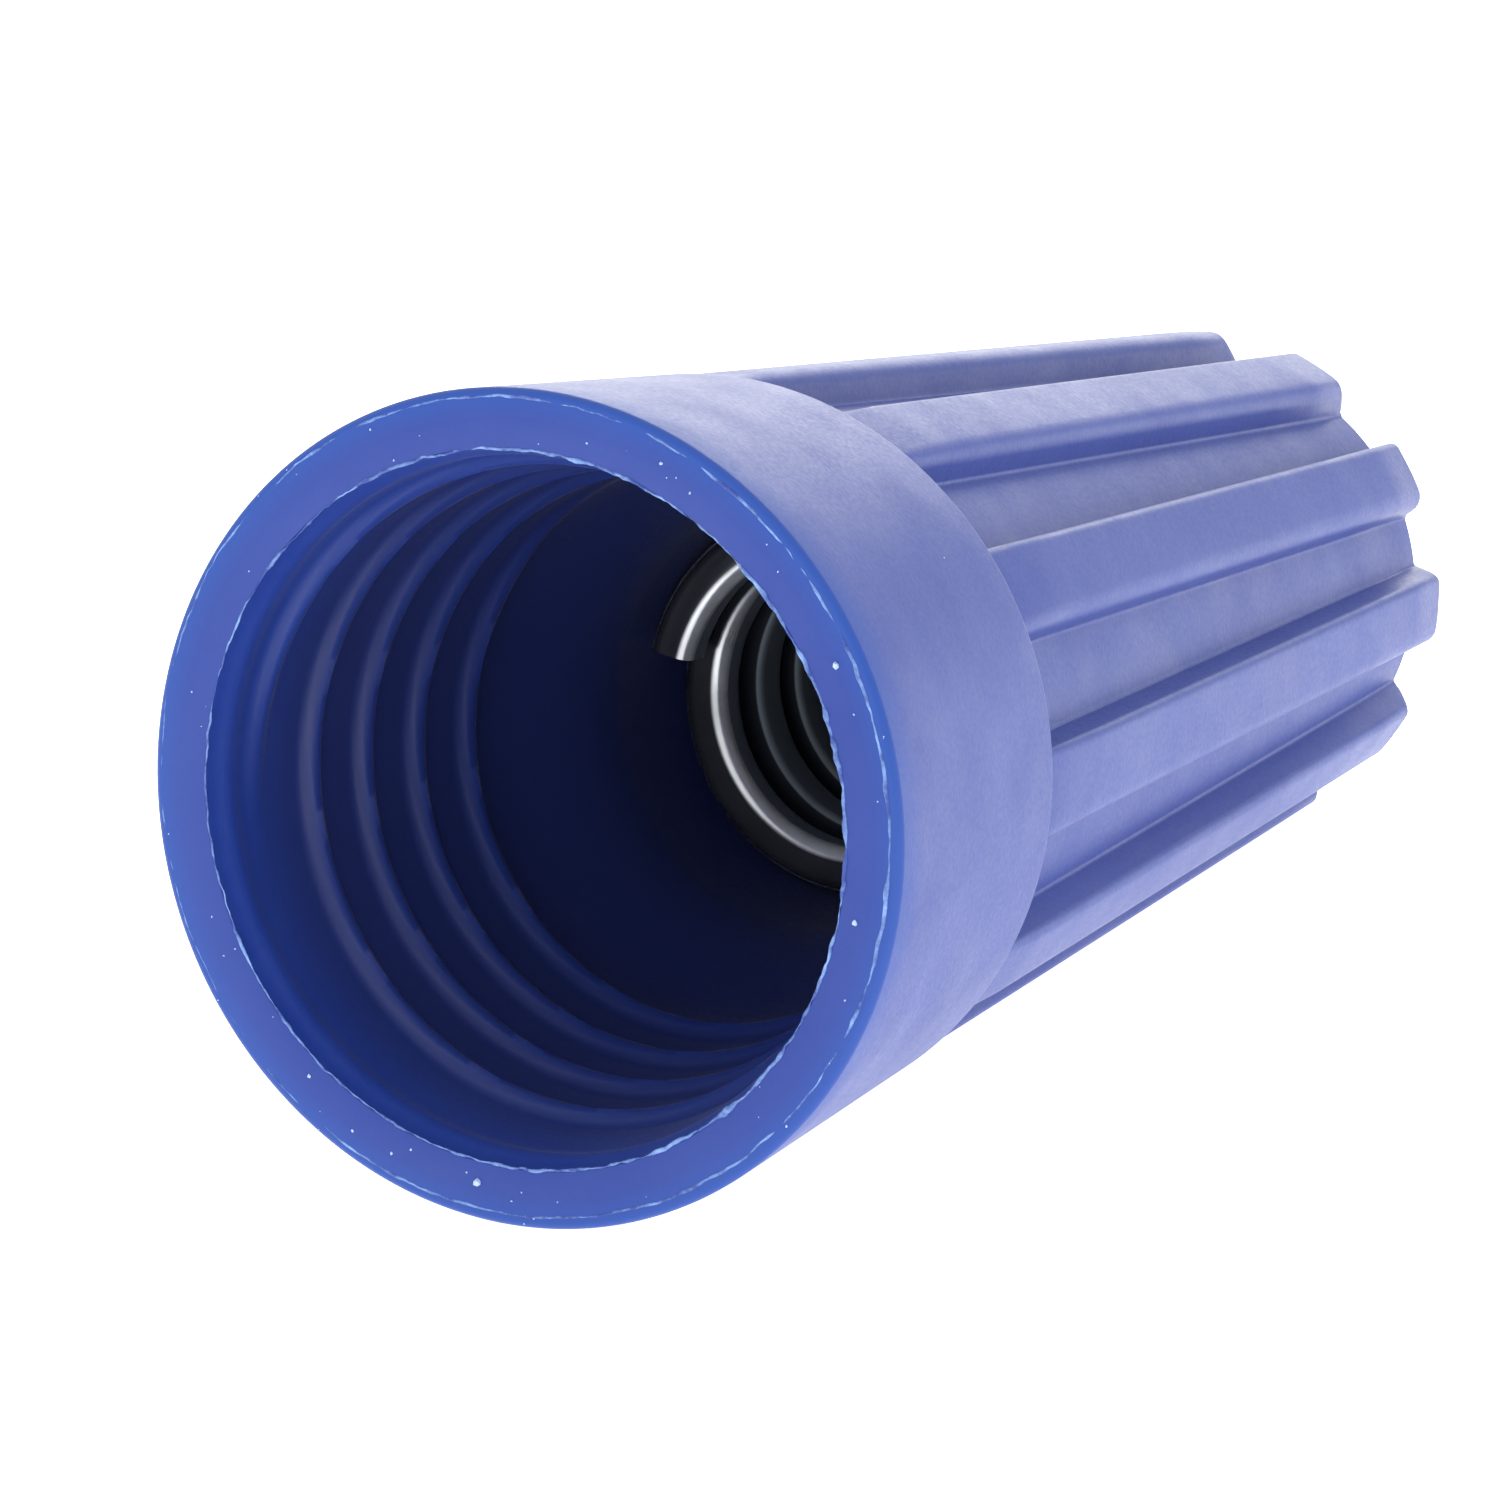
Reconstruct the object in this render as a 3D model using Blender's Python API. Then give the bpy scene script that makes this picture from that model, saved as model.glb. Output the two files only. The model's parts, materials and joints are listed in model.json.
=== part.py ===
"""Twist-on wire connector for 22 to 14 AWG wires, lying on its side.

Two pieces: a plastic shell with a threaded mouth and eleven finger ribs, and a conical coil
of square steel wire in the shell's pocket. Every shape is written along the connector's own
axis: depth runs from the mouth to the closed end, radius and angle are taken about the axis,
with angle 0 towards -X and a quarter turn towards +Z. The rest frame then lays that axis
down, so that the rim of the mouth and the tips of two ribs touch the ground.
"""

from math import atan2, cos, pi, radians, sin, tau

import bmesh
import bpy
from mathutils import Vector

MM = 0.001

# Outside of the shell
LENGTH = 22.0 * MM
MOUTH_RADIUS = 5.5 * MM
COLLAR_LENGTH = 5.36 * MM
COLLAR_END_RADIUS = 5.045 * MM
EDGE_BEVEL = 0.05 * MM
CORE_RADIUS_AT_COLLAR = 4.5 * MM
CORE_RADIUS_AT_END = 3.22 * MM
CORE_END_BEVEL = 0.15 * MM

# Finger ribs
RIB_COUNT = 11
RIB_RADIUS_AT_COLLAR = 5.005 * MM
RIB_RADIUS_AT_TIP = 3.76 * MM
RIB_WIDTH_AT_COLLAR = 1.24 * MM
RIB_WIDTH_AT_TIP = 1.03 * MM
RIB_EDGE_BEVEL = 0.12 * MM
RIB_TIP_CHAMFER = 0.35 * MM
RIB_END_INSET = 0.05 * MM
RIB_ROOT_DEPTH = 0.35 * MM

# Inside of the shell
BORE_RADIUS_AT_MOUTH = 4.71 * MM
BORE_RADIUS_AT_THROAT = 3.85 * MM
BORE_LENGTH = 5.5 * MM
POCKET_DEPTH = 8.5 * MM
POCKET_END_DEPTH = 20.3 * MM
POCKET_CLEARANCE = 0.1 * MM
THROAT_STEPS = 4

# Thread ridge inside the bore, right-handed
THREAD_PITCH = 1.1 * MM
THREAD_TURNS = 4.27
THREAD_START_DEPTH = 0.93 * MM
THREAD_START_ANGLE = radians(-15)
THREAD_HEIGHT = 0.17 * MM
THREAD_CREST_WIDTH = 0.22 * MM
THREAD_FOOT_WIDTH = 0.62 * MM
THREAD_ROOT_DEPTH = 0.12 * MM
THREAD_FADE_TURNS = 0.15

# Spring, right-handed, a square wire on a cone
WIRE_SIDE = 0.65 * MM
SPRING_PITCH = 0.98 * MM
SPRING_TURNS = 10.9
SPRING_START_DEPTH = 8.65 * MM
SPRING_START_ANGLE = radians(17)
SPRING_OUTER_RADIUS = 2.84 * MM
SPRING_SHRINK_PER_TURN = 0.11 * MM

# Fineness of the round surfaces
TURNED_SEGMENTS = 72
THREAD_SEGMENTS = 40
SPRING_SEGMENTS = 26
SMOOTH_ANGLE = radians(35)

# Colours
PLASTIC_BLUE = (0.055, 0.09, 0.5)
SPRING_GREY = (0.45, 0.46, 0.48)


def clear_scene():
    for old in list(bpy.data.objects):
        bpy.data.objects.remove(old, do_unlink=True)


def plain_material(name, colour, roughness, metallic):
    material = bpy.data.materials.new(name)
    material.use_nodes = True
    shader = material.node_tree.nodes["Principled BSDF"]
    shader.inputs["Base Color"].default_value = (*colour, 1.0)
    shader.inputs["Roughness"].default_value = roughness
    shader.inputs["Metallic"].default_value = metallic
    return material


def point_at(angle, radius, depth, across=0.0):
    """A point of the axis frame; across is a straight offset in the direction of growing angle."""
    return Vector((
        across * sin(angle) - radius * cos(angle),
        depth,
        across * cos(angle) + radius * sin(angle),
    ))


def loft(name, sections):
    """One closed mesh through loops of equally many points, capped at its two end loops."""
    bm = bmesh.new()
    loops = [[bm.verts.new(point) for point in section] for section in sections]
    for before, after in zip(loops, loops[1:]):
        for i in range(len(before)):
            bm.faces.new((before[i - 1], before[i], after[i], after[i - 1]))
    bm.faces.new(loops[0])
    bm.faces.new(loops[-1])
    bmesh.ops.recalc_face_normals(bm, faces=bm.faces)
    mesh = bpy.data.meshes.new(name)
    bm.to_mesh(mesh)
    bm.free()
    obj = bpy.data.objects.new(name, mesh)
    bpy.context.scene.collection.objects.link(obj)
    return obj


def shade_round(obj):
    obj.data.shade_smooth()
    obj.data.set_sharp_from_angle(angle=SMOOTH_ANGLE)


def unite(body, addition):
    """A Boolean union with a helper solid that isn't a piece of its own."""
    addition.hide_render = True
    addition.display_type = "WIRE"
    union = body.modifiers.new(addition.name, "BOOLEAN")
    union.operation = "UNION"
    union.solver = "EXACT"
    union.object = addition


def between(first, last, share):
    return first + (last - first) * share


def bore_radius(depth):
    return between(BORE_RADIUS_AT_MOUTH, BORE_RADIUS_AT_THROAT, depth / BORE_LENGTH)


def pocket_radius(depth):
    """The cone that clears the deeper edge of every turn of the spring."""
    turns = (depth - SPRING_START_DEPTH - WIRE_SIDE) / SPRING_PITCH
    return SPRING_OUTER_RADIUS + POCKET_CLEARANCE - SPRING_SHRINK_PER_TURN * turns


def shell_profile():
    """(radius, depth) from the closed end over the outside, round the rim and down the inside."""
    profile = [
        (CORE_RADIUS_AT_END - CORE_END_BEVEL, LENGTH),
        (CORE_RADIUS_AT_END, LENGTH - CORE_END_BEVEL),
        (CORE_RADIUS_AT_COLLAR, COLLAR_LENGTH),
        (COLLAR_END_RADIUS - EDGE_BEVEL, COLLAR_LENGTH),
        (COLLAR_END_RADIUS, COLLAR_LENGTH - EDGE_BEVEL),
        (MOUTH_RADIUS, EDGE_BEVEL),
        (MOUTH_RADIUS - EDGE_BEVEL, 0.0),
        (BORE_RADIUS_AT_MOUTH, 0.0),
    ]
    for step in range(THROAT_STEPS + 1):
        share = step / THROAT_STEPS
        eased = (1 - cos(pi * share)) / 2
        radius = between(BORE_RADIUS_AT_THROAT, pocket_radius(POCKET_DEPTH), eased)
        profile.append((radius, between(BORE_LENGTH, POCKET_DEPTH, share)))
    profile.append((pocket_radius(POCKET_END_DEPTH), POCKET_END_DEPTH))
    return profile


def shell_body():
    """The shell without its ribs and thread, turned about the axis."""
    angles = [tau * i / TURNED_SEGMENTS for i in range(TURNED_SEGMENTS)]
    sections = [[point_at(angle, radius, depth) for angle in angles] for radius, depth in shell_profile()]
    return loft("shell", sections)


def rib_section(angle, depth, crest_radius, width):
    """The outline across a rib: a flat crest with bevelled edges on straight walls."""
    core_share = (depth - COLLAR_LENGTH) / (LENGTH - COLLAR_LENGTH)
    root = between(CORE_RADIUS_AT_COLLAR, CORE_RADIUS_AT_END, core_share) - RIB_ROOT_DEPTH
    shoulder = crest_radius - RIB_EDGE_BEVEL
    wall = width / 2
    crest_edge = wall - RIB_EDGE_BEVEL
    outline = [
        (-wall, root),
        (-wall, shoulder),
        (-crest_edge, crest_radius),
        (crest_edge, crest_radius),
        (wall, shoulder),
        (wall, root),
    ]
    return [point_at(angle, radius, depth, across) for across, radius in outline]


def rib_tip_depth():
    """Where the crest ends and the chamfer of the rib's tip starts."""
    return LENGTH - RIB_END_INSET - RIB_TIP_CHAMFER


def rib(index):
    """One rib, rooted in the core and in the end of the collar. Rib 0 is on top."""
    angle = pi / 2 + tau * index / RIB_COUNT
    return loft(f"rib_{index}", [
        rib_section(angle, COLLAR_LENGTH - RIB_ROOT_DEPTH, RIB_RADIUS_AT_COLLAR, RIB_WIDTH_AT_COLLAR),
        rib_section(angle, rib_tip_depth(), RIB_RADIUS_AT_TIP, RIB_WIDTH_AT_TIP),
        rib_section(angle, LENGTH - RIB_END_INSET, RIB_RADIUS_AT_TIP - RIB_TIP_CHAMFER, RIB_WIDTH_AT_TIP),
    ])


def thread_ridge():
    """The helical ridge of the bore, which rises out of the wall and sinks back into it."""
    sections = []
    steps = round(THREAD_TURNS * THREAD_SEGMENTS)
    for step in range(steps + 1):
        turn = step / THREAD_SEGMENTS
        rise = min(1.0, turn / THREAD_FADE_TURNS, (THREAD_TURNS - turn) / THREAD_FADE_TURNS)
        height = between(-THREAD_ROOT_DEPTH / 2, THREAD_HEIGHT, max(0.0, rise))
        angle = THREAD_START_ANGLE + tau * turn
        middle = THREAD_START_DEPTH + THREAD_PITCH * turn
        outline = [
            (THREAD_ROOT_DEPTH, -THREAD_FOOT_WIDTH / 2),
            (-height, -THREAD_CREST_WIDTH / 2),
            (-height, THREAD_CREST_WIDTH / 2),
            (THREAD_ROOT_DEPTH, THREAD_FOOT_WIDTH / 2),
        ]
        wall = bore_radius(middle)
        sections.append([point_at(angle, wall + out, middle + along) for out, along in outline])
    return loft("thread_ridge", sections)


def spring_coil():
    sections = []
    steps = round(SPRING_TURNS * SPRING_SEGMENTS)
    for step in range(steps + 1):
        turn = step / SPRING_SEGMENTS
        angle = SPRING_START_ANGLE + tau * turn
        front = SPRING_START_DEPTH + SPRING_PITCH * turn
        outer = SPRING_OUTER_RADIUS - SPRING_SHRINK_PER_TURN * turn
        inner = outer - WIRE_SIDE
        back = front + WIRE_SIDE
        outline = [(inner, front), (outer, front), (outer, back), (inner, back)]
        sections.append([point_at(angle, radius, depth) for radius, depth in outline])
    return loft("spring", sections)


def rest_frame():
    """An empty on the axis at the mouth, tilted so that the rim and the two lowest rib tips meet
    the ground, with the whole part centred over the origin."""
    from_bottom = pi / RIB_COUNT
    crest_edge = RIB_WIDTH_AT_TIP / 2 - RIB_EDGE_BEVEL
    tip_reach = RIB_RADIUS_AT_TIP * cos(from_bottom) + crest_edge * sin(from_bottom)
    tilt = atan2(MOUTH_RADIUS - tip_reach, rib_tip_depth() - EDGE_BEVEL)
    front = (EDGE_BEVEL - MOUTH_RADIUS) * sin(tilt)
    back = LENGTH * cos(tilt) + (CORE_RADIUS_AT_END - CORE_END_BEVEL) * sin(tilt)
    frame = bpy.data.objects.new("rest_frame", None)
    frame.location = (0.0, -(front + back) / 2, MOUTH_RADIUS * cos(tilt) + EDGE_BEVEL * sin(tilt))
    frame.rotation_euler = (-tilt, 0.0, 0.0)
    bpy.context.scene.collection.objects.link(frame)
    return frame


def main():
    clear_scene()
    frame = rest_frame()
    shell = shell_body()
    additions = [rib(index) for index in range(RIB_COUNT)] + [thread_ridge()]
    for addition in additions:
        unite(shell, addition)
    spring = spring_coil()
    shell.data.materials.append(plain_material("blue_plastic", PLASTIC_BLUE, 0.5, 0.0))
    spring.data.materials.append(plain_material("spring_steel", SPRING_GREY, 0.3, 1.0))
    for piece in [shell, spring, *additions]:
        shade_round(piece)
        piece.parent = frame


main()
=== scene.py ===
"""Finished look of a twist-on wire connector: moulded blue shell, rim flash, crumbs and wire spring."""

import json
from math import cos, pi, radians, sin, sqrt, tau

import bmesh
import bpy
import numpy as np
from bpy.props import (
    FloatProperty,
    FloatVectorProperty,
    IntProperty,
    PointerProperty,
)
from mathutils import Matrix, Vector, noise


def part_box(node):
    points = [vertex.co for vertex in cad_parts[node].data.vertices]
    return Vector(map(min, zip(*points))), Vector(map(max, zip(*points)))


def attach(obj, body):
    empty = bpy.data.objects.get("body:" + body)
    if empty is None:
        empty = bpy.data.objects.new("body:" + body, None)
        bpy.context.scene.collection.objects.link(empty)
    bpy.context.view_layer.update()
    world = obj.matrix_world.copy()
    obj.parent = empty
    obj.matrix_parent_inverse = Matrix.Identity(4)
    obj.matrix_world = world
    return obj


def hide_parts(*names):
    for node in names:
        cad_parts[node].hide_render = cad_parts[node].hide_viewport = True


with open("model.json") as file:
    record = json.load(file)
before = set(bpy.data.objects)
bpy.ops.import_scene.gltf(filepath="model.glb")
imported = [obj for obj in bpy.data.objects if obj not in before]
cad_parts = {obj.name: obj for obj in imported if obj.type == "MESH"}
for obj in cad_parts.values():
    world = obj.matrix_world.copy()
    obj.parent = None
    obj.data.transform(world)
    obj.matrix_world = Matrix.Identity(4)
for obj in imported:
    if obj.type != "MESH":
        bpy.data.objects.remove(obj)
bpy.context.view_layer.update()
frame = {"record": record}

bl_info = {
    "name": "Twist-on Wire Connector",
    "version": (1, 0, 0),
    "blender": (4, 5, 0),
    "location": "3D View > Sidebar > Connector",
    "description": "Makes a moulded twist-on wire connector with its spring and a pale studio",
    "category": "Add Mesh",
}

MM = 0.001
BODY = "root"

# Numbers kept at the meshes' points for the materials
# Painted glow at the rim's outer edge
PAINTED_RIM_GLOW = "painted_rim_glow"
# Painted shade deep in the bore
PAINTED_BORE_SHADE = "painted_bore_shade"
# Painted shade on the wire's front face
PAINTED_WIRE_SHADE = "painted_front_shade"
# Duller inner face of the wire, and painted shade on the turns behind the open one
WIRE_ROUGH_AND_SHADE = "wire_rough_and_shade"

# Fineness of the meshes, as points or rows along each stretch
CREST_POINTS = 4
RIB_EDGE_POINTS = 6
RIB_FOOT_POINTS = 5
VALLEY_POINTS = 8
RIB_TIP_ROWS = 9
BODY_ROWS = 16
COLLAR_ROWS = 8
CLOSED_END_ROWS = 5
COLLAR_EDGE_ROWS = 6
MOUTH_EDGE_ROWS = 8
BORE_EDGE_ROWS = 4
ROWS_PER_PITCH = 13
THROAT_ROWS = 18
POCKET_ROWS = 6
FLASH_STEPS = 1600
FLASH_SIDES = 8
WIRE_STEPS_PER_TURN = 96
WIRE_CORNER_POINTS = 7

# Sockets of a Mix node that mixes colours
MIX_FIRST, MIX_SECOND, MIX_RESULT = 6, 7, 2


# The connector's own frame: depth runs along +Y from the mouth to the closed end, and angle 0
# is towards -X, a quarter turn towards +Z.

def mount(name):
    """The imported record's mount of this name."""
    return next(m for m in frame["record"]["mounts"] if m["name"] == name)


def connector_length():
    """The depth of the closed end behind the rim."""
    rim = Vector(mount("rim_face")["pos_m"])
    end = mount("closed_end_face")
    return (Vector(end["pos_m"]) - rim).dot(Vector(end["axis"]).normalized())


def connector_matrix():
    """The connector's own frame in the world, with its origin in the middle of the mouth."""
    end = mount("closed_end_face")
    along = Vector(end["axis"]).normalized()
    across = Vector((1, 0, 0))
    matrix = Matrix((across, along, across.cross(along))).transposed().to_4x4()
    matrix.translation = Vector(end["pos_m"]) - along * connector_length()
    return matrix


def mouth_radius():
    """Half the shell's width, which is greatest at the mouth."""
    low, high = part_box("shell")
    return (high.x - low.x) / 2


LENGTH = connector_length()
MOUTH_RADIUS = mouth_radius()


def length_property(name, description, default):
    """A setting in metres."""
    return FloatProperty(
        name=name,
        description=description,
        default=default,
        min=0.0,
        subtype="DISTANCE",
        unit="LENGTH",
        precision=5,
    )


def angle_property(name, description, degrees):
    """A setting that is an angle."""
    return FloatProperty(
        name=name,
        description=description,
        default=radians(degrees),
        subtype="ANGLE",
    )


def colour_property(name, description, default):
    """A setting that is a colour."""
    return FloatVectorProperty(
        name=name,
        description=description,
        default=default,
        min=0.0,
        max=1.0,
        size=3,
        subtype="COLOR",
    )


class ShellSizes(bpy.types.PropertyGroup):
    """Sizes of the outside and the inside of the moulded shell."""

    collar_length: length_property("Collar length", "Depth of the plain collar", 5.45 * MM)
    collar_end_radius: length_property("Collar end radius", "Radius where the collar ends", 5.045 * MM)
    mouth_edge_radius: length_property("Mouth edge", "Rounding of the mouth's outer edge", 0.1 * MM)
    collar_edge_radius: length_property("Collar edge", "Rounding of the collar's end", 0.1 * MM)
    core_radius_at_collar: length_property("Core at collar", "Valley floor radius at the collar", 4.5 * MM)
    core_radius_at_end: length_property("Core at end", "Valley floor radius at the closed end", 3.22 * MM)
    core_end_rounding: length_property("End rounding", "Rounding of the closed end", 0.15 * MM)
    rib_count: IntProperty(name="Ribs", description="Finger ribs round the body", default=11, min=3)
    rib_radius_at_collar: length_property("Rib crest at collar", "Crest radius at the collar", 5.005 * MM)
    rib_radius_at_tip: length_property("Rib crest at tip", "Crest radius where the tip starts", 3.76 * MM)
    rib_width_at_collar: length_property("Rib width at collar", "Width across a rib", 1.24 * MM)
    rib_width_at_tip: length_property("Rib width at tip", "Width across a rib", 1.03 * MM)
    rib_edge_radius: length_property("Rib edge radius", "Rounding of a rib's first edge", 0.14 * MM)
    rib_soft_edge_radius: length_property("Soft edge radius", "Rounding of its other edge", 0.26 * MM)
    rib_first_side_extra: length_property("First side extra", "Width added on its first side", 0.03 * MM)
    rib_crown: length_property("Rib crown", "Fall of the crest from its middle to its edge", 0.012 * MM)
    rib_wall_lean: length_property("Rib wall lean", "How far a rib's foot stands out", 0.012 * MM)
    rib_foot_radius: length_property("Rib foot radius", "Fillet along a rib's foot", 0.06 * MM)
    rib_tip_length: length_property("Rib tip length", "Length of the sloped rib tip", 0.35 * MM)
    rib_end_inset: length_property("Rib end inset", "Step from rib ends to the closed end", 0.05 * MM)
    rib_tip_fullness: FloatProperty(
        name="Rib tip fullness",
        description="1 is a straight slope and 2 a round one",
        default=1.15,
        min=1.0,
    )
    bore_radius: length_property("Bore radius", "Radius of the mouth's opening", 4.71 * MM)
    bore_edge_radius: length_property("Bore edge", "Rounding of the bore's edge", 0.03 * MM)
    throat_radius: length_property("Throat radius", "Bore radius behind the thread", 3.85 * MM)
    bore_length: length_property("Bore length", "Depth of the conical bore", 5.5 * MM)
    pocket_depth: length_property("Pocket depth", "Depth at which the spring's pocket starts", 8.5 * MM)
    pocket_end_depth: length_property("Pocket end", "Depth of the pocket's bottom", 20.3 * MM)
    pocket_clearance: length_property("Pocket clearance", "Gap between spring and pocket", 0.1 * MM)


class ThreadSizes(bpy.types.PropertyGroup):
    """Sizes of the rounded ridge that winds down the bore."""

    pitch: length_property("Pitch", "Depth gained in one turn", 1.1 * MM)
    turns: FloatProperty(name="Turns", description="Length of the ridge in turns", default=4.27, min=0.5)
    start_depth: length_property("Start depth", "Depth at which the ridge starts", 0.93 * MM)
    start_angle: angle_property("Start angle", "Where the ridge starts", -15)
    height: length_property("Height", "Height of the ridge over the bore", 0.17 * MM)
    half_width: length_property("Half width", "From the ridge's crest to its foot", 0.26 * MM)
    fade: FloatProperty(name="Fade", description="Turns over which an end fades", default=0.15, min=0.01)
    bead_depth: length_property("Bead depth", "Depth of the bead behind the mouth", 0.42 * MM)
    bead_height: length_property("Bead height", "Height of that bead", 0.06 * MM)
    bead_half_width: length_property("Bead half width", "From its crest to its foot", 0.3 * MM)


class SpringSizes(bpy.types.PropertyGroup):
    """Sizes of the conical coil of square wire."""

    wire_side: length_property("Wire side", "Side of the square wire", 0.65 * MM)
    corner_radius: length_property("Corner radius", "Rounding of the open turn's corners", 0.2 * MM)
    deep_corner_radius: length_property("Deep corner radius", "Rounding further in", 0.1 * MM)
    pitch: length_property("Pitch", "Depth gained in one turn", 0.98 * MM)
    turns: FloatProperty(name="Turns", description="Turns of the coil", default=10.9, min=1.0)
    start_depth: length_property("Start depth", "Depth of the coil's cut end", 8.65 * MM)
    start_angle: angle_property("Start angle", "Where the wire's cut end is", 17)
    outer_radius: length_property("Outer radius", "Radius of the first turn", 2.84 * MM)
    shrink: length_property("Shrink per turn", "How much the radius falls in one turn", 0.11 * MM)


class FlashSizes(bpy.types.PropertyGroup):
    """Sizes of the thin flash along the rim's edges and of the loose crumbs."""

    bore_edge_width: length_property("Bore edge width", "Width of the flash at the bore", 0.075 * MM)
    outer_edge_width: length_property("Outer edge width", "Width of the flash outside", 0.06 * MM)
    wobble: length_property("Wobble", "How far the flash strays", 0.02 * MM)
    crumb_size: length_property("Crumb size", "Typical radius of a crumb", 0.017 * MM)
    crumb_count: IntProperty(name="Crumbs", description="Loose crumbs on the plastic", default=70, min=1)


class Colours(bpy.types.PropertyGroup):
    """Colours of the plastic, the flash, the steel and the floor."""

    plastic: colour_property("Plastic", "Solid blue of the shell", (0.0095, 0.035, 0.25))
    plastic_pale: colour_property("Pale plastic", "Blue where it is bloomed", (0.016, 0.047, 0.275))
    # Painted shade deep in the bore and in the thread's grooves
    painted_bore_shade: colour_property("Bore shade", "Darker blue deep in the bore", (0.012, 0.022, 0.12))
    # Painted glow of light through the rim's thin outer edge
    painted_edge_glow: colour_property("Edge glow", "Blue of the rim's thin outer edge", (0.007, 0.058, 0.32))
    flash: colour_property("Flash", "Thin stressed plastic", (0.22, 0.38, 0.72))
    crumb: colour_property("Crumb", "Loose crumbs", (0.62, 0.7, 0.86))
    steel: colour_property("Steel", "Zinc-plated wire", (0.8, 0.83, 0.86))
    # Duller steel on the wire's inner faces, and painted shade on the turns behind the open one
    steel_dull_and_shade: colour_property("Dull steel", "Worn inner faces of the wire", (0.21, 0.25, 0.29))
    # Painted shade: near black on the wire's front face
    painted_front_shade: colour_property("Painted front shade", "Oiled front of the wire", (0.01, 0.014, 0.028))
    floor: colour_property("Floor", "Pale floor", (0.9, 0.9, 0.9))


class StageSettings(bpy.types.PropertyGroup):
    """Where the camera stands, seen from the mouth, and how bright the lights are."""

    azimuth: angle_property("Azimuth", "Turn of the view away from +Y", 28.58)
    elevation: angle_property("Elevation", "Height of the view", 12.37)
    roll: angle_property("Roll", "Lean of the camera", 6.35)
    distance: FloatProperty(name="Distance", description="To the mouth, in mouth radii", default=18.716)
    mouth_left: FloatProperty(name="Mouth left", description="Offset in mouth radii", default=0.5406)
    mouth_down: FloatProperty(name="Mouth down", description="Offset in mouth radii", default=0.1455)
    lens: FloatProperty(name="Lens", description="Focal length in mm", default=192.0, min=10.0)
    sky_strength: FloatProperty(name="Surround", description="Brightness of the room", default=1.2)
    floor_glow: FloatProperty(name="Floor glow", description="Light that the floor gives off", default=1.05)
    back_power: FloatProperty(name="Back power", description="Light behind in W", default=0.13)


def settings(context, group):
    """The scene's settings of this group."""
    return getattr(context.scene, group)


# Mesh and material helpers

def on_axis(angle, radius, depth):
    """Points of the connector's frame, as an array whose last axis is x, y, z."""
    angle, radius, depth = np.broadcast_arrays(angle, radius, depth)
    return np.stack([-radius * np.cos(angle), depth, radius * np.sin(angle)], axis=-1)


def skin(name, grid, ring=False):
    """A closed mesh over rows of points that wrap round; its two end rows are capped or joined."""
    rows, columns = grid.shape[:2]
    index = np.arange(rows * columns).reshape(rows, columns)
    after = np.roll(index, -1, axis=0) if ring else index[1:]
    before = index if ring else index[:-1]
    quads = np.stack([before, after, np.roll(after, -1, axis=1), np.roll(before, -1, axis=1)], axis=-1)
    faces = quads.reshape(-1, 4).tolist()
    if not ring:
        faces += [index[0].tolist(), index[-1][::-1].tolist()]
    mesh = bpy.data.meshes.new(name)
    mesh.from_pydata(grid.reshape(-1, 3).tolist(), [], faces)
    bm = bmesh.new()
    bm.from_mesh(mesh)
    if bm.calc_volume(signed=True) < 0:
        bmesh.ops.reverse_faces(bm, faces=bm.faces)
    bm.to_mesh(mesh)
    bm.free()
    return mesh


def add_tone(mesh, name, values):
    """Keeps one number at each point of the mesh for its material to read."""
    mesh.attributes.new(name, "FLOAT", "POINT").data.foreach_set("value", values.ravel())


def add_piece(name, mesh, material, smooth_angle):
    """Puts a mesh of the connector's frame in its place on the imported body."""
    mesh.transform(connector_matrix())
    mesh.shade_smooth()
    mesh.set_sharp_from_angle(angle=smooth_angle)
    mesh.materials.append(material)
    piece = bpy.data.objects.new(name, mesh)
    bpy.context.scene.collection.objects.link(piece)
    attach(piece, BODY)
    return piece


def new_material(name):
    """A node material and its shader."""
    material = bpy.data.materials.new(name)
    material.use_nodes = True
    return material, material.node_tree.nodes["Principled BSDF"]


def add_node(material, kind, **values):
    """A node with its settings and its unlinked inputs given by name."""
    node = material.node_tree.nodes.new(kind)
    for name, value in values.items():
        if hasattr(node, name):
            setattr(node, name, value)
        else:
            node.inputs[name.replace("_", " ")].default_value = value
    return node


def link(material, output, target):
    """Joins a node's output to another node's input."""
    material.node_tree.links.new(output, target)


def noise_field(material, coordinates, scale, detail=3.0, roughness=0.5):
    """Noise from 0 to 1 at a scale in cycles per metre."""
    node = add_node(material, "ShaderNodeTexNoise", Scale=scale, Detail=detail, Roughness=roughness)
    link(material, coordinates, node.inputs["Vector"])
    return node.outputs["Fac"]


def ramp(material, value, low, high, start, stop):
    """The value moved from low..high to start..stop and held there."""
    node = add_node(material, "ShaderNodeMapRange")
    for name, number in zip(("From Min", "From Max", "To Min", "To Max"), (low, high, start, stop)):
        node.inputs[name].default_value = number
    link(material, value, node.inputs["Value"])
    return node.outputs["Result"]


def mixed_colour(material, amount, first, second):
    """The first colour where the amount is 0 and the second where it is 1."""
    node = add_node(material, "ShaderNodeMix", data_type="RGBA")
    node.inputs[MIX_FIRST].default_value = (*first, 1)
    node.inputs[MIX_SECOND].default_value = (*second, 1)
    link(material, amount, node.inputs["Factor"])
    return node.outputs[MIX_RESULT]


def toned(material, colour, tone, second):
    """The colour moved towards a second one by a number kept at the mesh's points."""
    node = add_node(material, "ShaderNodeMix", data_type="RGBA")
    node.inputs[MIX_SECOND].default_value = (*second, 1)
    amount = add_node(material, "ShaderNodeAttribute", attribute_name=tone).outputs["Fac"]
    link(material, amount, node.inputs["Factor"])
    link(material, colour, node.inputs[MIX_FIRST])
    return node.outputs[MIX_RESULT]


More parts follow.
